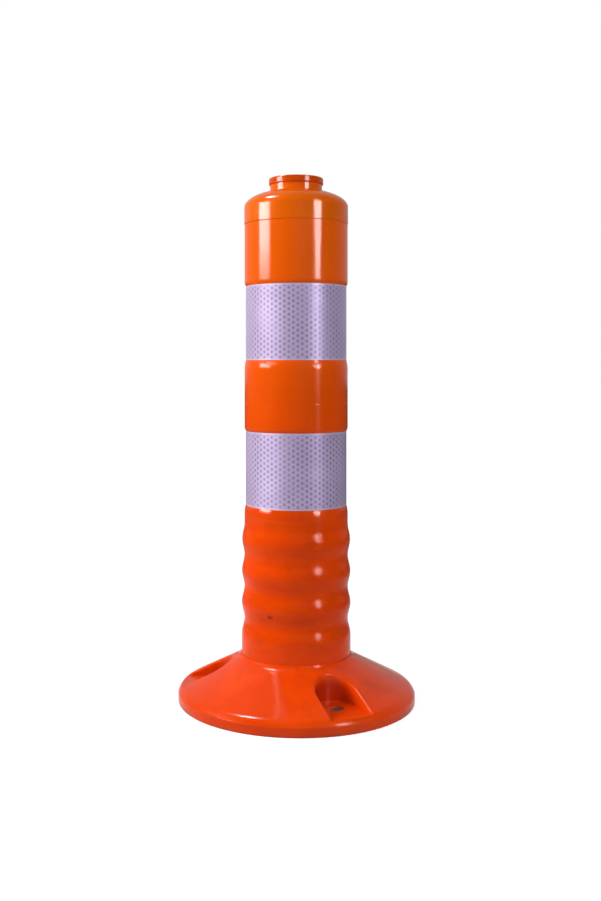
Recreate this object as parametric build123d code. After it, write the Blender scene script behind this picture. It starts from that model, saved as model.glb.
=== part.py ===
from build123d import *
import math
import os

# A flexible delineator post: a round bolt-down base, a hollow post that bends in its bellows, and a
# plugged cap. Millimetres, +Z up, origin on the ground at the post's axis.

# Driving dimensions
OVERALL_HEIGHT = 451.0
BASE_DIAMETER = 204.0
TUBE_DIAMETER = 89.4
WALL = 4.0
BOLT_HOLE = 11.0
BOLT_COUNT = 3

# Fits and tolerances
SURFACE_GAP = 0.1
EDGE_TOLERANCE = 1.0

# Base flange
CONE_SLOPE = 27.0
RIM_HEIGHT = 8.0
RIM_ROUNDING = 1.5
SHOULDER_WIDTH = 5.3
SHOULDER_DROP = 5.9
HUB_LIP_RISE = 2.3
HUB_LIP_WIDTH = 0.7
HUB_BLEND = 4.0
HUB_WALL = 7.8
BASE_SKIN = 6.0
BOLT_SHIFT = 2.1
BOLT_POCKET_FLARE = 1.0
BOLT_POCKET_FLOOR = 12.0
BOLT_POCKET_ROUNDING = 2.0
CELLS_PER_BAY = 3
CELL_ARC = 20.0
CELL_PITCH = 24.0
CELL_LEDGE = 1.5

# Core plate and bushes moulded into the base
PLATE_THICKNESS = 3.0
PLATE_HEIGHT = 1.0
PLATE_MARGIN = 11.0
BUSH_WALL = 3.5
BUSH_SKIN = 1.0

# Post foot, held down by the base
FOOT_STEP = 2.4
FOOT_LIP_WIDTH = 4.4
FOOT_LIP_THICKNESS = 4.0
HUB_LAND = 3.4

# Bellows
FIRST_BULGE = 57.2
BULGE_PITCH = 27.3
BULGE_COUNT = 4
BULGE_STEP = 2.3
BULGE_TAPER = 0.15
VALLEY_STEP = 0.05

# Reflective bands
BAND_HEIGHT = 64.0
LOWER_BAND_RISE = 15.75
UPPER_BAND_DROP = 53.5
BAND_THICKNESS = 0.6
BAND_RECESS = 1.1
BAND_SEAM = 1.2
SEAT_LOWER_ROLL = 8.0
SEAT_UPPER_ROLL = 3.5

# Top cap and plug
CAP_STEP = 0.3
CAP_SKIRT = 2.3
CAP_SKIRT_HEIGHT = 14.7
CAP_SKIRT_ROUNDING = 0.5
CAP_SPIGOT = 10.0
DOME_RISE = 16.0
CAP_WALL = 4.0
NECK_DIAMETER = 45.0
NECK_WALL = 3.5
NECK_RISE = 3.3
PLUG_LIP_STEP = 1.1
PLUG_LIP_HEIGHT = 6.0
PLUG_DEPTH = 14.0
PLUG_WALL = 3.0
PLUG_ROUNDING = 1.2

# Radii worked out from the sizes above
BASE_RADIUS = BASE_DIAMETER / 2
TUBE_RADIUS = TUBE_DIAMETER / 2
FOOT_RADIUS = TUBE_RADIUS + FOOT_STEP
HUB_RADIUS = FOOT_RADIUS + SURFACE_GAP
HUB_LIP_RADIUS = HUB_RADIUS + HUB_LIP_WIDTH
BOLT_RADIUS = (HUB_RADIUS + BASE_RADIUS) / 2 - BOLT_SHIFT
BOLT_POCKET_RADIUS = BOLT_RADIUS - HUB_RADIUS - HUB_WALL
BUSH_RADIUS = BOLT_HOLE / 2 + BUSH_WALL
FOOT_LIP_RADIUS = FOOT_RADIUS + FOOT_LIP_WIDTH
LAND_RADIUS = FOOT_LIP_RADIUS + SURFACE_GAP + HUB_LAND
PLATE_RADIUS = BASE_RADIUS - PLATE_MARGIN
CONE_END_RADIUS = BASE_RADIUS - SHOULDER_WIDTH
VALLEY_RADIUS = TUBE_RADIUS + VALLEY_STEP
CAP_RADIUS = TUBE_RADIUS + CAP_STEP
NECK_RADIUS = NECK_DIAMETER / 2

# Heights worked out from the sizes above
PLATE_TOP = PLATE_HEIGHT + PLATE_THICKNESS
BUSH_TOP = BOLT_POCKET_FLOOR - BUSH_SKIN
CONE_END_HEIGHT = RIM_HEIGHT + SHOULDER_DROP
HALF_PITCH = BULGE_PITCH / 2
TUBE_BOTTOM = FIRST_BULGE + (2 * BULGE_COUNT - 1) * HALF_PITCH
NECK_TOP = OVERALL_HEIGHT - PLUG_LIP_HEIGHT
DOME_TOP = NECK_TOP - NECK_RISE
DOME_START = DOME_TOP - DOME_RISE
CAP_BOTTOM = DOME_START - CAP_SKIRT_HEIGHT
LOWER_BAND_BOTTOM = TUBE_BOTTOM + LOWER_BAND_RISE
UPPER_BAND_BOTTOM = CAP_BOTTOM - UPPER_BAND_DROP - BAND_HEIGHT

SLOPE = math.tan(math.radians(CONE_SLOPE))
BOLT_ANGLES = [180.0 + 360.0 * index / BOLT_COUNT for index in range(BOLT_COUNT)]


def cone_height(radius):
    """Height of the base's cone above the ground at a radius."""
    return CONE_END_HEIGHT + (CONE_END_RADIUS - radius) * SLOPE


def turned(curves):
    """The solid that a closed outline in the XZ plane sweeps round the post's axis."""
    return revolve(make_face(curves), Axis.Z)


def pipe(outer, inner, bottom, top):
    """A plain round tube standing between two heights."""
    height = top - bottom
    ring = Circle(outer) - Circle(inner)
    return extrude(Pos(0, 0, bottom) * ring, height)


def rod(radius, bottom, top):
    """A solid round bar standing between two heights."""
    return extrude(Pos(0, 0, bottom) * Circle(radius), top - bottom)


def base_blank():
    """The base's outer shape: hub lip, cone, rounded shoulder and rim, with the hub bore through it."""
    lip_height = cone_height(HUB_LIP_RADIUS) + HUB_LIP_RISE
    lip_corner = (HUB_LIP_RADIUS, 0, lip_height)
    blend_end = (HUB_LIP_RADIUS + HUB_BLEND, 0, cone_height(HUB_LIP_RADIUS + HUB_BLEND))
    cone_end = (CONE_END_RADIUS, 0, CONE_END_HEIGHT)
    downhill = (math.cos(math.radians(CONE_SLOPE)), 0, -math.sin(math.radians(CONE_SLOPE)))
    uphill = (-downhill[0], 0, -downhill[2])
    rim_top = (BASE_RADIUS, 0, RIM_HEIGHT)
    blend = TangentArc(blend_end, lip_corner, tangent=uphill)
    shoulder = TangentArc(cone_end, rim_top, tangent=downhill)
    outline = [
        Line((HUB_RADIUS, 0, 0), (HUB_RADIUS, 0, lip_height)),
        Line((HUB_RADIUS, 0, lip_height), lip_corner),
        blend,
        Line(blend_end, cone_end),
        shoulder,
        Line(rim_top, (BASE_RADIUS, 0, 0)),
        Line((BASE_RADIUS, 0, 0), (HUB_RADIUS, 0, 0)),
    ]
    blank = turned(outline)
    rim_edges = [
        edge
        for edge in blank.edges().filter_by(GeomType.CIRCLE)
        if abs(edge.radius - BASE_RADIUS) < SURFACE_GAP
    ]
    return fillet(rim_edges, RIM_ROUNDING)


def bolt_pocket():
    """The room over one bolt: a round back, and side walls that flare out through the rim."""
    flare = math.radians(BOLT_POCKET_FLARE)
    end = BASE_RADIUS + BOLT_POCKET_RADIUS
    tangent_x = BOLT_RADIUS - BOLT_POCKET_RADIUS * math.sin(flare)
    tangent_y = BOLT_POCKET_RADIUS * math.cos(flare)
    end_y = tangent_y + (end - tangent_x) * math.tan(flare)
    back = ThreePointArc(
        (tangent_x, tangent_y),
        (BOLT_RADIUS - BOLT_POCKET_RADIUS, 0),
        (tangent_x, -tangent_y),
    )
    sides = Polyline((tangent_x, -tangent_y), (end, -end_y), (end, end_y), (tangent_x, tangent_y))
    floor = Pos(0, 0, BOLT_POCKET_FLOOR) * make_face([back, sides])
    return extrude(floor, cone_height(0))


def underside_cell():
    """One weight-saving hollow under the cone, closed below by the core plate."""
    drop = BASE_SKIN / math.cos(math.radians(CONE_SLOPE))
    inner = LAND_RADIUS + CELL_LEDGE
    outer = PLATE_RADIUS - CELL_LEDGE
    corners = [
        (inner, 0, PLATE_HEIGHT),
        (inner, 0, cone_height(inner) - drop),
        (outer, 0, cone_height(outer) - drop),
        (outer, 0, PLATE_HEIGHT),
    ]
    return revolve(make_face(Polyline(*corners, close=True)), Axis.Z, CELL_ARC)


def make_base_flange():
    """The flexible base, with bolt pockets above and the seats of the foot, plate and bushes below."""
    base = base_blank()
    pocket = bolt_pocket()
    for angle in BOLT_ANGLES:
        base -= Rot(0, 0, angle) * pocket
    base = fillet(pocket_edges(base), BOLT_POCKET_ROUNDING)
    base -= rod(FOOT_LIP_RADIUS + SURFACE_GAP, 0, FOOT_LIP_THICKNESS + SURFACE_GAP)
    base -= pipe(PLATE_RADIUS + SURFACE_GAP, LAND_RADIUS, 0, PLATE_TOP)
    bay = 360.0 / BOLT_COUNT
    first = (bay - CELLS_PER_BAY * CELL_PITCH + CELL_PITCH - CELL_ARC) / 2
    cell = underside_cell()
    for angle in BOLT_ANGLES:
        for index in range(CELLS_PER_BAY):
            base -= Rot(0, 0, angle + first + index * CELL_PITCH) * cell
        bolt = Rot(0, 0, angle) * Pos(BOLT_RADIUS, 0, 0)
        base -= bolt * rod(BUSH_RADIUS + SURFACE_GAP, PLATE_HEIGHT, BUSH_TOP)
        base -= bolt * rod(BOLT_HOLE / 2, 0, 2 * BOLT_POCKET_FLOOR)
    return base


def pocket_edges(base):
    """The edges where the pockets' walls meet the cone and the shoulder."""
    edges = []
    for edge in base.edges():
        middle = edge @ 0.5
        radius = math.hypot(middle.X, middle.Y)
        above_floor = min((edge @ 0).Z, (edge @ 1).Z, middle.Z) > BOLT_POCKET_FLOOR - SURFACE_GAP
        sloping = edge.bounding_box().size.Z > SURFACE_GAP
        on_cone = abs(middle.Z - cone_height(radius)) < EDGE_TOLERANCE
        if above_floor and sloping and on_cone:
            edges.append(edge)
    return edges


def make_core_plate():
    """The steel ring under the base that spreads the bolts' clamping load."""
    plate = pipe(PLATE_RADIUS, LAND_RADIUS + SURFACE_GAP, PLATE_HEIGHT, PLATE_TOP)
    for angle in BOLT_ANGLES:
        hole = rod(BOLT_HOLE / 2, 0, 2 * PLATE_TOP)
        plate -= Rot(0, 0, angle) * Pos(BOLT_RADIUS, 0, 0) * hole
    return plate


def make_bolt_bush(angle):
    """One steel sleeve, standing on the plate, that keeps a bolt from crushing the base."""
    sleeve = pipe(BUSH_RADIUS, BOLT_HOLE / 2, PLATE_TOP, BUSH_TOP)
    return Rot(0, 0, angle) * Pos(BOLT_RADIUS, 0, 0) * sleeve


def make_post_foot():
    """The bottom of the post: a lip trapped under the hub, and a plain collar up to the first bulge."""
    collar = pipe(FOOT_RADIUS, FOOT_RADIUS - WALL, 0, FIRST_BULGE)
    lip = pipe(FOOT_LIP_RADIUS, FOOT_RADIUS - WALL, 0, FOOT_LIP_THICKNESS)
    return collar + lip


def bellows_radius(index):
    """Outer radius at a turning point: even numbers are bulges and odd numbers are valleys."""
    if index == 0:
        return FOOT_RADIUS
    if index % 2:
        return VALLEY_RADIUS
    return TUBE_RADIUS + BULGE_STEP - BULGE_TAPER * (index / 2 - 1)


def make_bellows_ring(index):
    """The wall between one turning point of the bellows and the next, an S-shaped half wave."""
    bottom = FIRST_BULGE + index * HALF_PITCH
    top = bottom + HALF_PITCH
    lower = bellows_radius(index)
    upper = bellows_radius(index + 1)
    upright = (0, 0, 1)
    outside = Spline((lower, 0, bottom), (upper, 0, top), tangents=[upright, upright])
    inside = Spline((lower - WALL, 0, bottom), (upper - WALL, 0, top), tangents=[upright, upright])
    outline = [
        outside,
        Line((upper, 0, top), (upper - WALL, 0, top)),
        inside,
        Line((lower - WALL, 0, bottom), (lower, 0, bottom)),
    ]
    return turned(outline)


def band_seat(bottom):
    """The shallow groove round the tube for a band: the tube rolls down to the sheet at both edges."""
    top = bottom + BAND_HEIGHT
    outside = TUBE_RADIUS + EDGE_TOLERANCE
    sheet_face = TUBE_RADIUS - BAND_RECESS
    floor = sheet_face - BAND_THICKNESS
    lower_start = (TUBE_RADIUS, 0, bottom - SEAT_LOWER_ROLL)
    upper_start = (TUBE_RADIUS, 0, top + SEAT_UPPER_ROLL)
    lower_roll = TangentArc(lower_start, (sheet_face, 0, bottom), tangent=(0, 0, 1))
    upper_roll = TangentArc(upper_start, (sheet_face, 0, top), tangent=(0, 0, -1))
    outline = [
        Line((outside, 0, bottom - SEAT_LOWER_ROLL), lower_start),
        lower_roll,
        Line((sheet_face, 0, bottom), (floor, 0, bottom)),
        Line((floor, 0, bottom), (floor, 0, top)),
        Line((floor, 0, top), (sheet_face, 0, top)),
        upper_roll,
        Line(upper_start, (outside, 0, top + SEAT_UPPER_ROLL)),
        Line((outside, 0, top + SEAT_UPPER_ROLL), (outside, 0, bottom - SEAT_LOWER_ROLL)),
    ]
    return turned(outline)


def make_post_tube():
    """The upper post, with two band seats and a spigot that the cap fits over."""
    spigot_radius = CAP_RADIUS - CAP_SKIRT - SURFACE_GAP
    bore = VALLEY_RADIUS - WALL
    tube = pipe(TUBE_RADIUS, bore, TUBE_BOTTOM, CAP_BOTTOM)
    for bottom in (LOWER_BAND_BOTTOM, UPPER_BAND_BOTTOM):
        tube -= band_seat(bottom)
    return tube + pipe(spigot_radius, bore, CAP_BOTTOM - CAP_SPIGOT, CAP_BOTTOM + CAP_SPIGOT)


def make_band(bottom):
    """A reflective sheet wrapped once round its seat, with its two ends almost meeting at the back."""
    outer = TUBE_RADIUS - BAND_RECESS
    inner = outer - BAND_THICKNESS
    margin = SURFACE_GAP / 2
    sheet = pipe(outer, inner + margin, bottom + margin, bottom + BAND_HEIGHT - margin)
    seam = Box(BAND_SEAM, TUBE_DIAMETER, 2 * BAND_HEIGHT)
    return sheet - Pos(0, TUBE_DIAMETER / 2, bottom + BAND_HEIGHT / 2) * seam


def make_top_cap():
    """The cap: a skirt over the tube's spigot, a domed shoulder and an open neck."""
    inner = CAP_RADIUS - CAP_WALL
    body = rod(CAP_RADIUS, CAP_BOTTOM, DOME_START) + dome_solid(CAP_RADIUS, DOME_RISE)
    body = fillet(bottom_rim(body), CAP_SKIRT_ROUNDING)
    hollow = rod(CAP_RADIUS - CAP_SKIRT, CAP_BOTTOM, CAP_BOTTOM + CAP_SPIGOT + SURFACE_GAP)
    ceiling = rod(inner, CAP_BOTTOM, DOME_START) + dome_solid(inner, DOME_RISE - CAP_WALL)
    neck = rod(NECK_RADIUS, DOME_START, NECK_TOP)
    cap = body + neck - hollow - ceiling
    return cap - rod(NECK_RADIUS - NECK_WALL, CAP_BOTTOM, NECK_TOP)


def bottom_rim(body):
    """The lower outer edge of the cap's skirt."""
    return [
        edge
        for edge in body.edges().filter_by(GeomType.CIRCLE)
        if abs(edge.radius - CAP_RADIUS) < SURFACE_GAP and edge.center().Z < CAP_BOTTOM + SURFACE_GAP
    ]


def dome_solid(radius, rise):
    """Half of a flattened ball, standing on the level where the cap stops being straight."""
    half_ball = Sphere(radius, arc_size1=0, align=(Align.CENTER, Align.CENTER, Align.MIN))
    return Pos(0, 0, DOME_START) * scale(half_ball, by=(1, 1, rise / radius))


def make_neck_plug():
    """The plug pushed into the neck: a rounded lip on top and a hollow stem below."""
    stem_radius = NECK_RADIUS - NECK_WALL - SURFACE_GAP
    lip = rod(NECK_RADIUS + PLUG_LIP_STEP, NECK_TOP, OVERALL_HEIGHT)
    lip = fillet(lip.edges().filter_by(GeomType.CIRCLE), PLUG_ROUNDING)
    stem = rod(stem_radius, NECK_TOP - PLUG_DEPTH, NECK_TOP)
    hollow = rod(stem_radius - PLUG_WALL, NECK_TOP - PLUG_DEPTH, NECK_TOP)
    return lip + stem - hollow


def build_parts():
    """Every piece of the post, by node name."""
    parts = {"base_flange": make_base_flange(), "base_core_plate": make_core_plate()}
    for index, angle in enumerate(BOLT_ANGLES):
        parts[f"bolt_bush_{index + 1}"] = make_bolt_bush(angle)
    parts["post_foot"] = make_post_foot()
    for index in range(2 * BULGE_COUNT - 1):
        parts[f"bellows_ring_{index + 1}"] = make_bellows_ring(index)
    parts["post_tube"] = make_post_tube()
    parts["lower_reflective_band"] = make_band(LOWER_BAND_BOTTOM)
    parts["upper_reflective_band"] = make_band(UPPER_BAND_BOTTOM)
    parts["top_cap"] = make_top_cap()
    parts["neck_plug"] = make_neck_plug()
    return parts


os.makedirs("parts", exist_ok=True)
for name, solid in build_parts().items():
    export_step(solid, f"parts/{name}.step")
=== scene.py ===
import math

import bpy
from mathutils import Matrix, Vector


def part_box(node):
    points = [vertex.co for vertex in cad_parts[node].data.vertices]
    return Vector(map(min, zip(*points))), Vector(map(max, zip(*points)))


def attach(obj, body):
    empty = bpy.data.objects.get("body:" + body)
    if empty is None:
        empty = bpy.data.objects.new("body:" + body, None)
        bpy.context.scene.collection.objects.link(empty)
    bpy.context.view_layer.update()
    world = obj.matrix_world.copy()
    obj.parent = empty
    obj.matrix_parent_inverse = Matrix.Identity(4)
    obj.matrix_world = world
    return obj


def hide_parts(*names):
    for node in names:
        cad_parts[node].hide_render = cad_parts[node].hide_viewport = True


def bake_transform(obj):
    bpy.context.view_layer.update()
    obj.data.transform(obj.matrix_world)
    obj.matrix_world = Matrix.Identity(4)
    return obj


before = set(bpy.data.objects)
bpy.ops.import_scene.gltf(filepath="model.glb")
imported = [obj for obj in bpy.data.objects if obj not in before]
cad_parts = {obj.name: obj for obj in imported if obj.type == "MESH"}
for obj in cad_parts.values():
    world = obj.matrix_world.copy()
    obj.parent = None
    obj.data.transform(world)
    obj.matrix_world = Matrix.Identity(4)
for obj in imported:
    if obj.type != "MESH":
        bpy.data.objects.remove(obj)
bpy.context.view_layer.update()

# Sizes in metres, read from the frame where a node's box gives them
MM = 0.001
FOOT_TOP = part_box("post_foot")[1][2]
TUBE_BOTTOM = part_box("post_tube")[0][2]
FOOT_LIP_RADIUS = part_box("post_foot")[1][0]
FOOT_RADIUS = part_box("bellows_ring_1")[1][0]
TUBE_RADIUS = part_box("post_tube")[1][0]
CAP_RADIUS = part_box("top_cap")[1][0]
PLUG_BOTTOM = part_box("top_cap")[1][2]
WALL = 4 * MM
LIP_THICKNESS = 4 * MM
CAP_WALL = 2.4 * MM

# The bellows: its turning points are the hinges' places, a wide one and a narrow one by turns
HINGE_COUNT = 8
HINGE_PITCH = (TUBE_BOTTOM - FOOT_TOP) / (HINGE_COUNT - 1)
BULGE_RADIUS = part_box("bellows_ring_2")[1][0]
BULGE_TAPER = 0.15 * MM
VALLEY_RADIUS = 44.75 * MM

# The tube's surface: where it rolls in to the bands' seats, and its joint and mould lines
SEAT_DEPTH = 1.7 * MM
SEAT_RECESS = 1.1 * MM
SEAT_LOWER_ROLL = 8 * MM
SEAT_UPPER_ROLL = 3.5 * MM
MOULD_LINE = 257 * MM
GROOVE = 0.25 * MM
MOULD_LINE_DEPTH = GROOVE / 5
SUPPORT = 0.6 * MM
BANDS = ("lower_reflective_band", "upper_reflective_band")

# The base's cone, as its slope and the height of its tip, and the floor of its bolt pockets
CONE_SLOPE = math.tan(math.radians(27))
CONE_TIP = 63.2 * MM
POCKET_FLOOR = 12 * MM

# Steps in which the meshes follow curves
ROUND_STEPS = 192
ARC_STEPS = 6
ROLL_STEPS = 8
FOLD_STEPS = 16
FOOT_STEPS = 12

# Stretch of the flow marks, and the places of the blemish and size of the sheet's cells
UPWARD_GRAIN = (1, 1, 0.22)
ROUND_GRAIN = (1, 1, 4)
EVEN_GRAIN = (1, 1, 1)
BLEMISH = ((-20.4 * MM, -41.5 * MM, 79.6 * MM), (-18.4 * MM, -42.4 * MM, 79.3 * MM))
BLEMISH_RADIUS = 2.2 * MM
CELL_PITCH = 4.45 * MM
CELL_ROWS = math.sqrt(3) / 2

# The camera, in degrees and metres, and the lights' and cards' usual places
CAMERA_AZIMUTH = 3.0
CAMERA_TURN = 5.1
CAMERA_DISTANCE = 0.9376
CAMERA_HEIGHT = 0.291
CAMERA_LENS = 43.1
CAMERA_SHIFT = (0.0488, -0.097)
RIGHT = 48
CARD_DISTANCE = 2.4
OVERHEAD_DISTANCE = 0.8
OVERHEAD_HEIGHT = 1.75
MIDDLE = (0, 0, 0.25)
LOW_MIDDLE = (0, 0, 0.15)
FLOOR_REACH = 12.0
DARK_RADIUS = 0.10

# The Mix node's colour sockets, which share their names with its other sockets
MIX_FIRST, MIX_SECOND, MIX_RESULT = 6, 7, 2


def turning_radius(index):
    """Outer radius of the bellows at its numbered turning point, counted from the foot's top."""
    if index <= 0:
        return FOOT_RADIUS
    if index >= HINGE_COUNT - 1:
        return TUBE_RADIUS
    if index % 2:
        return VALLEY_RADIUS
    return BULGE_RADIUS - BULGE_TAPER * (index / 2 - 1)


def post_radius(height):
    """Outer radius of the flexible moulding, a half wave from each turning point to the next."""
    place = (height - FOOT_TOP) / HINGE_PITCH
    index = math.floor(place)
    share = (1 - math.cos(math.pi * (place - index))) / 2
    return turning_radius(index) * (1 - share) + turning_radius(index + 1) * share


def add_object(name, data):
    """A new object in the scene for a mesh, a light or a camera."""
    thing = bpy.data.objects.new(name, data)
    bpy.context.scene.collection.objects.link(thing)
    return thing


def add_mesh(name, verts, faces):
    """A new mesh object from its corners and faces."""
    mesh = bpy.data.meshes.new(name)
    mesh.from_pydata(verts, [], faces)
    mesh.update()
    return add_object(name, mesh)


def lathe(name, outline):
    """A mesh made by turning a closed outline of (radius, height) points round the post's axis."""
    count = len(outline)
    verts = []
    for step in range(ROUND_STEPS):
        angle = 2 * math.pi * step / ROUND_STEPS
        for radius, height in outline:
            verts.append((radius * math.cos(angle), radius * math.sin(angle), height))
    faces = []
    for step in range(ROUND_STEPS):
        here = step * count
        there = (step + 1) % ROUND_STEPS * count
        for point in range(count):
            after = (point + 1) % count
            faces.append((here + point, there + point, there + after, here + after))
    return add_mesh(name, verts, faces)


def smooth_by_angle(piece, degrees):
    """Smooth shading, with hard edges kept where faces meet at more than an angle."""
    piece.data.shade_smooth()
    piece.data.set_sharp_from_angle(angle=math.radians(degrees))


def arc(centre, radius, start, end):
    """Points on an arc in the (radius, height) plane, between two angles in degrees."""
    points = []
    for step in range(ARC_STEPS + 1):
        angle = math.radians(start + (end - start) * step / ARC_STEPS)
        points.append((centre[0] + radius * math.cos(angle), centre[1] + radius * math.sin(angle)))
    return points


def levels(low, high, count):
    """Evenly spaced heights, both ends included."""
    return [low + (high - low) * step / count for step in range(count + 1)]


# Materials


class Shader:
    """A small helper that adds nodes to one material and links them."""

    def __init__(self, name):
        self.material = bpy.data.materials.new(name)
        self.material.use_nodes = True
        self.tree = self.material.node_tree
        self.bsdf = self.tree.nodes["Principled BSDF"]
        self.place = self.add("ShaderNodeTexCoord").outputs["Object"]

    def add(self, kind, **values):
        """A new node with some of its properties set."""
        node = self.tree.nodes.new(kind)
        for key, value in values.items():
            setattr(node, key, value)
        return node

    def link(self, source, target):
        """A link from an output to an input."""
        self.tree.links.new(source, target)

    def feed(self, socket, value):
        """Gives an input either a link or a plain value."""
        if isinstance(value, bpy.types.NodeSocket):
            self.link(value, socket)
        else:
            socket.default_value = value

    def math(self, operation, *values):
        """The result of a Math node."""
        node = self.add("ShaderNodeMath", operation=operation)
        for socket, value in zip(node.inputs, values):
            self.feed(socket, value)
        return node.outputs[0]

    def times(self, first, second):
        """The product of two values."""
        return self.math("MULTIPLY", first, second)

    def noise(self, scale, detail, roughness, stretch=None):
        """Noise from 0 to 1, with its pattern drawn out along an axis whose stretch is under 1."""
        place = self.place
        if stretch:
            mapping = self.add("ShaderNodeMapping")
            mapping.inputs["Scale"].default_value = stretch
            self.link(self.place, mapping.inputs["Vector"])
            place = mapping.outputs["Vector"]
        node = self.add("ShaderNodeTexNoise")
        node.inputs["Scale"].default_value = scale
        node.inputs["Detail"].default_value = detail
        node.inputs["Roughness"].default_value = roughness
        self.link(place, node.inputs["Vector"])
        return node.outputs["Fac"]

    def ramp(self, value, low, high, out_low=0.0, out_high=1.0):
        """A smooth step from one output to the other while the value goes from low to high."""
        node = self.add("ShaderNodeMapRange", interpolation_type="SMOOTHSTEP")
        ends = {"From Min": low, "From Max": high, "To Min": out_low, "To Max": out_high}
        for key, number in ends.items():
            node.inputs[key].default_value = number
        self.feed(node.inputs["Value"], value)
        return node.outputs["Result"]

    def mix(self, share, first, second):
        """A colour between two, at a share of the way."""
        node = self.add("ShaderNodeMix", data_type="RGBA")
        self.feed(node.inputs["Factor"], share)
        self.feed(node.inputs[MIX_FIRST], first)
        self.feed(node.inputs[MIX_SECOND], second)
        return node.outputs[MIX_RESULT]

    def lay(self, colour, mask, strength, other):
        """A colour with another laid over it where the mask is 1, at a strength."""
        return self.mix(self.times(mask, strength), colour, other)

    def axes(self):
        """The object's own X, Y and Z."""
        node = self.add("ShaderNodeSeparateXYZ")
        self.link(self.place, node.inputs[0])
        return node.outputs

    def spot(self, centre, radius):
        """1 in the core of a place on the object, falling to 0 at a radius from it."""
        core = radius * 0.4
        node = self.add("ShaderNodeVectorMath", operation="DISTANCE")
        self.link(self.place, node.inputs[0])
        node.inputs[1].default_value = centre
        return self.ramp(node.outputs["Value"], radius, core)

    def bump(self, height, strength, distance):
        """A bump on the shader's own normal."""
        node = self.add("ShaderNodeBump")
        node.inputs["Strength"].default_value = strength
        node.inputs["Distance"].default_value = distance
        self.link(height, node.inputs["Height"])
        self.link(node.outputs["Normal"], self.bsdf.inputs["Normal"])


def rgb(red, green, blue):
    """A colour given in linear light."""
    return (red, green, blue, 1.0)


def tinted(colour, *shares):
    """A colour with its red, green and blue each changed by a share."""
    return rgb(*[channel * share for channel, share in zip(colour, shares)])


def elastomer(shader, main, gloss, grain, shine):
    """Glossy moulded elastomer: cloudy colour, flow marks along the grain, scuffs and orange peel."""
    clouds = shader.ramp(shader.noise(scale=16, detail=4, roughness=0.55), 0.36, 0.66)
    flow = shader.ramp(shader.noise(scale=30, detail=5, roughness=0.6, stretch=grain), 0.42, 0.72)
    streaks = shader.ramp(shader.noise(scale=22, detail=6, roughness=0.7, stretch=grain), 0.52, 0.70)
    specks = shader.ramp(shader.noise(scale=420, detail=2, roughness=0.5), 0.70, 0.76)
    scuffs = shader.noise(scale=75, detail=6, roughness=0.75, stretch=(1, 1, 2.6))
    scuffs = shader.ramp(scuffs, 0.66, 0.74)

    yellower = tinted(main, 1.05, 1.4, 1.0)
    browner = rgb(main[0] * 0.55, main[1] * 0.7, 0.002)
    colour = shader.mix(clouds, tinted(main, 0.88, 0.88, 0.88), main)
    colour = shader.lay(colour, flow, 0.35, yellower)
    colour = shader.lay(colour, streaks, 0.40, browner)
    colour = shader.lay(colour, scuffs, 0.22, rgb(0.95, 0.45, 0.20))
    colour = shader.lay(colour, specks, 0.30, rgb(0.30, 0.05, 0.01))

    rough = shader.math("ADD", shader.times(clouds, 0.06), gloss)
    rough = shader.math("ADD", rough, shader.times(scuffs, 0.22))
    shader.link(rough, shader.bsdf.inputs["Roughness"])
    skin = shader.times(shader.noise(scale=900, detail=2, roughness=0.5), 0.25)
    waves = shader.noise(scale=55, detail=2, roughness=0.4)
    shader.bump(shader.math("ADD", skin, waves), strength=0.12, distance=0.6 * MM)
    shader.bsdf.inputs["Specular IOR Level"].default_value = shine
    return colour


def finished(shader, colour):
    """The material, once its colour is settled."""
    shader.link(colour, shader.bsdf.inputs["Base Color"])
    return shader.material


def post_colour(shader, grain, shine):
    """The flexible moulding's colour: redder and duller low down, amber near the top."""
    height = shader.axes()[2]
    gloss = shader.ramp(height, 120 * MM, 200 * MM, out_low=0.13, out_high=0.10)
    colour = elastomer(shader, rgb(0.70, 0.052, 0.001), gloss, grain, shine)
    amber = shader.mix(0.85, colour, rgb(0.70, 0.102, 0.001))
    return shader.mix(shader.ramp(height, 130 * MM, 420 * MM), colour, amber)


def tube_material():
    """The upper tube: flow marks run up it, and it is glossy."""
    shader = Shader("post_elastomer")
    return finished(shader, post_colour(shader, UPWARD_GRAIN, shine=0.22))


def bellows_material():
    """The bellows and the foot: flow marks run round them, and a dark blemish lies between bulges."""
    shader = Shader("bellows_elastomer")
    colour = post_colour(shader, ROUND_GRAIN, shine=0.10)
    for place in BLEMISH:
        colour = shader.lay(colour, shader.spot(place, BLEMISH_RADIUS), 0.65, rgb(0.20, 0.02, 0.005))
    return finished(shader, colour)


def pocket_shade(shader, outward, height):
    """How far a place on the base is shaded by being down in a bolt pocket, and near its inner end."""
    cone = shader.math("SUBTRACT", CONE_TIP, shader.times(outward, CONE_SLOPE))
    sunk = shader.ramp(shader.math("SUBTRACT", cone, height), 1.5 * MM, 9 * MM)
    inner = shader.ramp(outward, 76 * MM, 58 * MM, out_low=0.12, out_high=0.72)
    wall = shader.ramp(height, POCKET_FLOOR + 0.4 * MM, POCKET_FLOOR + 2 * MM, out_low=0.45)
    return shader.times(shader.times(sunk, inner), wall)


def base_material():
    """The base: the same elastomer, with painted shade in deep red down in the bolt pockets, and dirty low
    on the rim.
    """
    shader = Shader("base_elastomer")
    colour = elastomer(shader, rgb(0.72, 0.050, 0.001), gloss=0.16, grain=EVEN_GRAIN, shine=0.18)
    x, y, height = shader.axes()
    outward = shader.math("SQRT", shader.math("ADD", shader.times(x, x), shader.times(y, y)))
    # Painted shade: a deep red laid over the colour down in the bolt pockets, strongest near their inner
    # ends and weaker on their floors
    colour = shader.mix(pocket_shade(shader, outward, height), colour, rgb(0.30, 0.006, 0.001))
    low = shader.ramp(height, 5.0 * MM, 0.5 * MM)
    patchy = shader.ramp(shader.noise(scale=60, detail=5, roughness=0.65), 0.45, 0.70)
    colour = shader.lay(colour, shader.times(low, patchy), 0.75, rgb(0.16, 0.07, 0.035))
    return finished(shader, colour)


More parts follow.
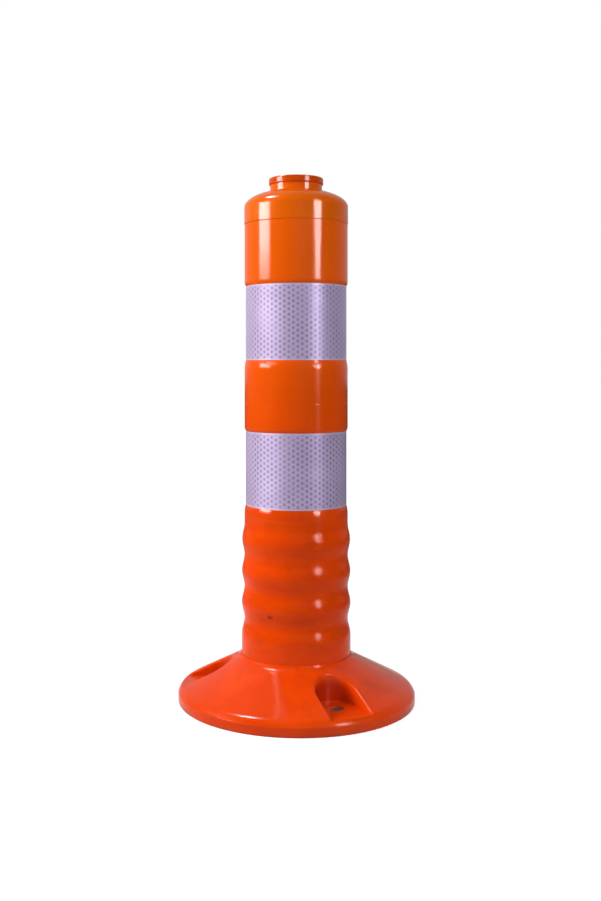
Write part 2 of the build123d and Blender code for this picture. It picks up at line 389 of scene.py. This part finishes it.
def cap_material():
    """The cap and its plug: amber orange, a little glossier, with a redder plug."""
    shader = Shader("cap_plastic")
    colour = elastomer(shader, rgb(0.70, 0.108, 0.001), gloss=0.09, grain=UPWARD_GRAIN, shine=0.25)
    plug = shader.ramp(shader.axes()[2], PLUG_BOTTOM - 0.2 * MM, PLUG_BOTTOM + 0.2 * MM)
    return finished(shader, shader.lay(colour, plug, 0.8, rgb(0.48, 0.045, 0.001)))


def sheet_border(shader, height):
    """1 along the sealed top and bottom edges of the bands, which are both equally high."""
    gaps = []
    for band in BANDS:
        low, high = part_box(band)[0][2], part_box(band)[1][2]
        half = (high - low) / 2
        gaps.append(shader.math("ABSOLUTE", shader.math("SUBTRACT", height, (low + high) / 2)))
    return shader.ramp(shader.math("MINIMUM", *gaps), half - 1.8 * MM, half - 0.9 * MM)


def sheet_lattice(shader, x, y, height):
    """A sum of three waves round the tube at 60 degrees, highest at the middle of each cell."""
    front = shader.times(y, -1.0)
    around_tube = shader.times(shader.math("ARCTAN2", x, front), TUBE_RADIUS)
    wave = 2 * math.pi / (CELL_PITCH * CELL_ROWS)
    total = shader.math("COSINE", shader.times(around_tube, wave))
    for side in (1, -1):
        across = shader.times(around_tube, wave / 2)
        along = shader.times(height, side * wave * CELL_ROWS)
        total = shader.math("ADD", total, shader.math("COSINE", shader.math("ADD", across, along)))
    return total


def sheet_material():
    """Prismatic reflective sheet: a triangular lattice of small darker cells under a clear face."""
    shader = Shader("reflective_sheet")
    x, y, height = shader.axes()
    lattice = sheet_lattice(shader, x, y, height)
    cells = shader.ramp(lattice, -0.5, 2.3)
    walls = shader.ramp(lattice, -1.1, -1.45)
    clouds = shader.ramp(shader.noise(scale=28, detail=4, roughness=0.6), 0.35, 0.70)
    patchy = shader.noise(scale=45, detail=3, roughness=0.5)
    patchy = shader.ramp(patchy, 0.30, 0.65, out_low=0.55, out_high=0.95)
    scuffs = shader.noise(scale=90, detail=6, roughness=0.7, stretch=(1, 1, 2.0))
    scuffs = shader.ramp(scuffs, 0.66, 0.74)

    tint = shader.mix(clouds, rgb(0.41, 0.33, 0.54), rgb(0.47, 0.385, 0.61))
    tint = shader.lay(tint, walls, 0.35, rgb(0.56, 0.48, 0.70))
    tint = shader.mix(shader.times(cells, patchy), tint, rgb(0.22, 0.165, 0.30))
    tint = shader.lay(tint, scuffs, 0.25, rgb(0.42, 0.36, 0.38))
    tint = shader.mix(sheet_border(shader, height), tint, rgb(0.50, 0.42, 0.60))

    rough = shader.math("ADD", 0.34, shader.times(scuffs, 0.25))
    shader.link(rough, shader.bsdf.inputs["Roughness"])
    shader.bsdf.inputs["Metallic"].default_value = 0.25
    shader.bsdf.inputs["Coat Weight"].default_value = 0.08
    shader.bsdf.inputs["Coat Roughness"].default_value = 0.22
    shader.bump(lattice, strength=0.04, distance=0.3 * MM)
    return finished(shader, tint)


def steel_material():
    """Zinc plating with blotches and fine scratches."""
    shader = Shader("zinc_plated_steel")
    blotches = shader.ramp(shader.noise(scale=60, detail=5, roughness=0.6), 0.35, 0.68)
    stains = shader.ramp(shader.noise(scale=35, detail=6, roughness=0.7), 0.60, 0.75)
    scratches = shader.noise(scale=260, detail=4, roughness=0.7, stretch=(1, 8, 1))
    colour = shader.mix(blotches, rgb(0.42, 0.43, 0.42), rgb(0.60, 0.61, 0.60))
    colour = shader.lay(colour, stains, 0.5, rgb(0.28, 0.20, 0.13))
    rough = shader.ramp(blotches, 0.0, 1.0, out_low=0.34, out_high=0.52)
    shader.link(rough, shader.bsdf.inputs["Roughness"])
    shader.bsdf.inputs["Metallic"].default_value = 0.9
    shader.bump(scratches, strength=0.15, distance=0.2 * MM)
    return finished(shader, colour)


def dress(piece, material):
    """Gives a piece one material on all its faces."""
    piece.data.materials.clear()
    piece.data.materials.append(material)


# The flexible moulding, in pieces


def make_foot(material):
    """The foot: a lip trapped under the hub, and the collar up to halfway below the first hinge."""
    top = FOOT_TOP - HINGE_PITCH / 2
    inner = FOOT_RADIUS - WALL
    rounding = MM
    outline = [(inner, 0.0), (FOOT_LIP_RADIUS - rounding, 0.0)]
    outline += arc((FOOT_LIP_RADIUS - rounding, rounding), rounding, -90, 0)
    outline += arc((FOOT_LIP_RADIUS - rounding, LIP_THICKNESS - rounding), rounding, 0, 90)
    outline += [(FOOT_RADIUS, height) for height in levels(LIP_THICKNESS, top, FOOT_STEPS)]
    outline += [(inner, top)]
    foot = lathe("foot", outline)
    smooth_by_angle(foot, degrees=30)
    dress(foot, material)
    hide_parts("post_foot")
    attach(foot, "base")
    return foot


def make_fold(index, material):
    """One piece of the bellows, which reaches halfway to the hinge on either side of its own."""
    centre = FOOT_TOP + index * HINGE_PITCH
    low = centre - HINGE_PITCH / 2
    high = centre + HINGE_PITCH / 2
    heights = levels(low, high, FOLD_STEPS)
    outline = [(post_radius(height), height) for height in heights]
    outline += [(post_radius(height) - WALL, height) for height in reversed(heights)]
    fold = lathe(f"fold_{index + 1}", outline)
    smooth_by_angle(fold, degrees=50)
    dress(fold, material)
    if index < HINGE_COUNT - 1:
        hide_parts(f"bellows_ring_{index + 1}")
    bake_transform(fold)
    return fold


def roll(edge, sheet):
    """Points where the tube turns inward, from a plain height to the height of the sheet's edge."""
    points = []
    for step in range(ROLL_STEPS + 1):
        share = step / ROLL_STEPS
        points.append((TUBE_RADIUS - SEAT_RECESS * share ** 2, edge + (sheet - edge) * share))
    return points


def seat_outline(band):
    """The tube's outline at one band's seat: in below the band, up along the floor and out above."""
    low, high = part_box(band)[0][2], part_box(band)[1][2]
    floor = TUBE_RADIUS - SEAT_DEPTH
    outline = [(TUBE_RADIUS, low - SEAT_LOWER_ROLL - SUPPORT)]
    outline += roll(low - SEAT_LOWER_ROLL, low)
    outline += [(floor, low), (floor, high)]
    outline += reversed(roll(high + SEAT_UPPER_ROLL, high))
    outline += [(TUBE_RADIUS, high + SEAT_UPPER_ROLL + SUPPORT)]
    return outline


def make_tube(material):
    """The upper tube: two band seats, a faint mould line and the spigot inside the cap."""
    low = TUBE_BOTTOM + HINGE_PITCH / 2
    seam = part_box("top_cap")[0][2]
    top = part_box("post_tube")[1][2]
    spigot = CAP_RADIUS - CAP_WALL
    bore = VALLEY_RADIUS - WALL
    chamfer = MM
    outline = [(bore, low), (TUBE_RADIUS, low)]
    outline += seat_outline(BANDS[0])
    outline += [(TUBE_RADIUS, MOULD_LINE - SUPPORT - GROOVE), (TUBE_RADIUS, MOULD_LINE - GROOVE)]
    outline += [(TUBE_RADIUS - MOULD_LINE_DEPTH, MOULD_LINE)]
    outline += [(TUBE_RADIUS, MOULD_LINE + GROOVE), (TUBE_RADIUS, MOULD_LINE + SUPPORT + GROOVE)]
    outline += seat_outline(BANDS[1])
    outline += [(TUBE_RADIUS, seam - GROOVE - SUPPORT), (TUBE_RADIUS, seam - GROOVE)]
    outline += [(TUBE_RADIUS - GROOVE, seam), (spigot, seam)]
    outline += [(spigot, top - chamfer), (spigot - chamfer, top), (bore, top)]
    tube = lathe("upper_tube", outline)
    smooth_by_angle(tube, degrees=40)
    dress(tube, material)
    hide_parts("post_tube")
    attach(tube, "mast")
    return tube


def dress_nodes():
    """Materials on the CAD nodes that show as they are."""
    steel = steel_material()
    sheet = sheet_material()
    cap = cap_material()
    finishes = {
        "base_flange": base_material(),
        "base_core_plate": steel,
        "top_cap": cap,
        "neck_plug": cap,
    }
    for band in BANDS:
        finishes[band] = sheet
    for number in (1, 2, 3):
        finishes[f"bolt_bush_{number}"] = steel
    for node, material in finishes.items():
        dress(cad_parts[node], material)


# Stage, lights and camera


def add_floor():
    """A wide floor, white to the camera, a dim haze to reflections, and dark under the base."""
    corners = [(x * FLOOR_REACH, y * FLOOR_REACH, 0) for x, y in ((-1, -1), (1, -1), (1, 1), (-1, 1))]
    floor = add_mesh("studio_floor", corners, [(0, 1, 2, 3)])
    shader = Shader("studio_floor")
    paper = shader.ramp(shader.noise(scale=3, detail=2, roughness=0.5), 0.3, 0.7)
    shader.bsdf.inputs["Roughness"].default_value = 0.9
    shader.bsdf.inputs["Specular IOR Level"].default_value = 0.0
    shader.bsdf.inputs["Emission Color"].default_value = rgb(1.0, 1.0, 1.0)
    length = shader.add("ShaderNodeVectorMath", operation="LENGTH")
    shader.link(shader.place, length.inputs[0])
    away = length.outputs["Value"]
    rays = shader.add("ShaderNodeLightPath").outputs
    white = shader.ramp(away, 0.3, 2.0, out_low=0.86)
    haze = shader.ramp(away, 0.60, 0.25, out_high=0.5)
    seen = shader.times(white, rays["Is Camera Ray"])
    mirrored = shader.times(haze, rays["Is Glossy Ray"])
    clear = shader.math("GREATER_THAN", away, DARK_RADIUS)
    glow = shader.times(shader.math("ADD", seen, mirrored), clear)
    shader.link(glow, shader.bsdf.inputs["Emission Strength"])
    dress(floor, finished(shader, shader.mix(paper, rgb(0.24, 0.24, 0.24), rgb(0.26, 0.26, 0.26))))


def add_light(name, place, target, size, power, colour=(1, 1, 1)):
    """A rectangular softbox of a width and height that points at a target."""
    data = bpy.data.lights.new(name, "AREA")
    data.shape = "RECTANGLE"
    data.size, data.size_y = size
    data.energy = power
    data.color = colour
    light = add_object(name, data)
    light.location = place
    away = [place[axis] - target[axis] for axis in range(3)]
    light.rotation_euler = (
        math.atan2(math.hypot(away[0], away[1]), away[2]),
        0,
        math.atan2(away[0], -away[1]),
    )
    return light


def around(azimuth, distance, height):
    """A place round the post: azimuth 0 is the camera's side, and positive goes to the right."""
    angle = math.radians(azimuth + CAMERA_AZIMUTH)
    return (distance * math.sin(angle), -distance * math.cos(angle), height)


def glowing_material(name):
    """A clear material that glows by its mesh's own glow values."""
    shader = Shader(name)
    glow = shader.add("ShaderNodeAttribute", attribute_name="glow")
    emission = shader.add("ShaderNodeEmission")
    shader.link(glow.outputs["Fac"], emission.inputs["Strength"])
    both = shader.add("ShaderNodeAddShader")
    shader.link(emission.outputs[0], both.inputs[0])
    shader.link(shader.add("ShaderNodeBsdfTransparent").outputs[0], both.inputs[1])
    shader.link(both.outputs[0], shader.tree.nodes["Material Output"].inputs["Surface"])
    return shader.material


def add_card(name, azimuth, distance, rows):
    """A glowing card that only reflections see, from rows of height, half width and brightness."""
    columns = ((-1.0, 0.0), (-0.75, 1.0), (0.75, 1.0), (1.0, 0.0))
    verts, glows, faces = [], [], []
    angle = math.radians(azimuth + CAMERA_AZIMUTH)
    for height, half_width, brightness in rows:
        x, y, z = around(azimuth, distance, height)
        for side, fade in columns:
            reach = side * half_width
            verts.append((x + reach * math.cos(angle), y + reach * math.sin(angle), z))
            glows.append(brightness * fade)
    for row in range(len(rows) - 1):
        for column in range(len(columns) - 1):
            corner = row * len(columns) + column
            faces.append((corner, corner + 1, corner + 1 + len(columns), corner + len(columns)))
    card = add_mesh(name, verts, faces)
    card.data.attributes.new("glow", "FLOAT", "POINT").data.foreach_set("value", glows)
    dress(card, glowing_material(name))
    card.visible_camera = False
    card.visible_diffuse = False
    card.visible_shadow = False
    return card


def only_lights(light, pieces):
    """Keeps a light or card to some pieces."""
    receivers = bpy.data.collections.new(light.name + "_receivers")
    for piece in pieces:
        receivers.objects.link(piece)
    light.light_linking.receiver_collection = receivers


def add_lights(bands):
    """Soft lights that shape the colour without showing in the gloss, and a key that only shows there."""
    warm = (1.0, 0.95, 0.86)
    cream = (1.0, 0.96, 0.90)
    overhead = around(-25, OVERHEAD_DISTANCE, OVERHEAD_HEIGHT)
    lights = [
        add_light("right_light", around(RIGHT, 1.6, 0.58), MIDDLE, (0.4, 0.4), power=10),
        add_light("left_light", around(-74, 1.5, 0.71), MIDDLE, (0.5, 0.5), power=13.5, colour=warm),
        add_light("left_glow", around(-88, 1.6, 0.98), MIDDLE, (0.8, 0.8), power=24, colour=cream),
        add_light("front_fill", around(15, 2.2, 0.9), MIDDLE, (1.6, 1.4), power=11.5),
        add_light("overhead", overhead, LOW_MIDDLE, (0.5, 0.5), power=8),
    ]
    for light in lights:
        light.visible_glossy = False
    place = around(-98, OVERHEAD_DISTANCE, OVERHEAD_HEIGHT)
    key = add_light("key", place, LOW_MIDDLE, (0.32, 0.32), power=24)
    key.visible_diffuse = False
    sheet_light = add_light("sheet_light", around(-66, 1.0, 0.30), MIDDLE, (0.5, 0.5), power=2.2)
    sheet_light.visible_glossy = False
    only_lights(sheet_light, bands)


def add_cards(bands, upper_pieces, lower_pieces):
    """Cards whose reflections draw the highlights, each from rows of height, half width and brightness."""
    right_card = add_card("right_card", RIGHT, CARD_DISTANCE, [
        (0.10, 0.15, 0.0),
        (0.25, 0.16, 0.9),
        (0.36, 0.17, 7.0),
        (0.55, 0.22, 30.0),
        (0.77, 0.42, 30.0),
        (0.86, 0.45, 26.0),
        (0.94, 0.45, 0.0),
    ])
    sheet_card = add_card("sheet_card", RIGHT, 2.3, [
        (0.30, 0.18, 1.0),
        (0.50, 0.22, 9.0),
        (0.80, 0.40, 14.0),
    ])
    sheet_glow = add_card("sheet_glow", -60, 0.6, [
        (0.0, 0.34, 1.3),
        (0.7, 0.34, 1.3),
    ])
    window = add_card("left_window", -73.5, CARD_DISTANCE, [
        (0.50, 0.66, 0.0),
        (0.68, 0.66, 34.0),
        (0.90, 0.66, 34.0),
    ])
    add_card("right_upper_card", RIGHT, CARD_DISTANCE, [
        (1.15, 0.22, 25.0),
        (2.2, 0.25, 25.0),
    ])
    add_card("left_skylight", -58, CARD_DISTANCE, [
        (1.02, 0.54, 20.0),
        (1.15, 0.54, 20.0),
    ])
    add_card("near_card", RIGHT, 0.35, [
        (0.0, 0.02, 0.8),
        (0.16, 0.02, 1.2),
        (0.34, 0.02, 1.0),
    ])
    only_lights(right_card, upper_pieces + lower_pieces)
    only_lights(sheet_card, bands)
    only_lights(sheet_glow, bands)
    only_lights(window, upper_pieces)


def add_world():
    """White in the camera's view. In reflections dim in front of the object and half bright behind it."""
    world = bpy.data.worlds.new("studio")
    world.use_nodes = True
    tree = world.node_tree
    direction = tree.nodes.new("ShaderNodeSeparateXYZ")
    tree.links.new(tree.nodes.new("ShaderNodeTexCoord").outputs["Generated"], direction.inputs[0])
    behind = tree.nodes.new("ShaderNodeMapRange")
    behind.interpolation_type = "SMOOTHSTEP"
    for key, number in (("From Min", -0.1), ("From Max", 0.8), ("To Min", 0.06), ("To Max", 0.5)):
        behind.inputs[key].default_value = number
    tree.links.new(direction.outputs["Y"], behind.inputs["Value"])
    seen = tree.nodes.new("ShaderNodeMath")
    seen.operation = "MAXIMUM"
    tree.links.new(behind.outputs["Result"], seen.inputs[0])
    tree.links.new(tree.nodes.new("ShaderNodeLightPath").outputs["Is Camera Ray"], seen.inputs[1])
    tree.links.new(seen.outputs[0], tree.nodes["Background"].inputs["Strength"])
    tree.nodes["Background"].inputs["Color"].default_value = rgb(1.0, 1.0, 1.0)
    bpy.context.scene.world = world


def add_camera():
    """The camera stands level, about two object heights in front, with the object right of its axis."""
    data = bpy.data.cameras.new("camera")
    data.lens = CAMERA_LENS
    data.shift_x, data.shift_y = CAMERA_SHIFT
    camera = add_object("camera", data)
    camera.location = around(0, CAMERA_DISTANCE, CAMERA_HEIGHT)
    camera.rotation_euler = (math.radians(90), 0, math.radians(CAMERA_TURN))
    bpy.context.scene.camera = camera


bellows = bellows_material()
flexible_pieces = [make_foot(bellows)] + [make_fold(number, bellows) for number in range(HINGE_COUNT)]
tube = make_tube(tube_material())
dress_nodes()

bands = [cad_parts[band] for band in BANDS]
upper_pieces = [tube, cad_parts["top_cap"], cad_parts["neck_plug"]]
add_floor()
add_lights(bands)
add_cards(bands, upper_pieces, flexible_pieces + [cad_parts["base_flange"]])
add_world()
add_camera()
bpy.context.scene.view_settings.view_transform = "Standard"
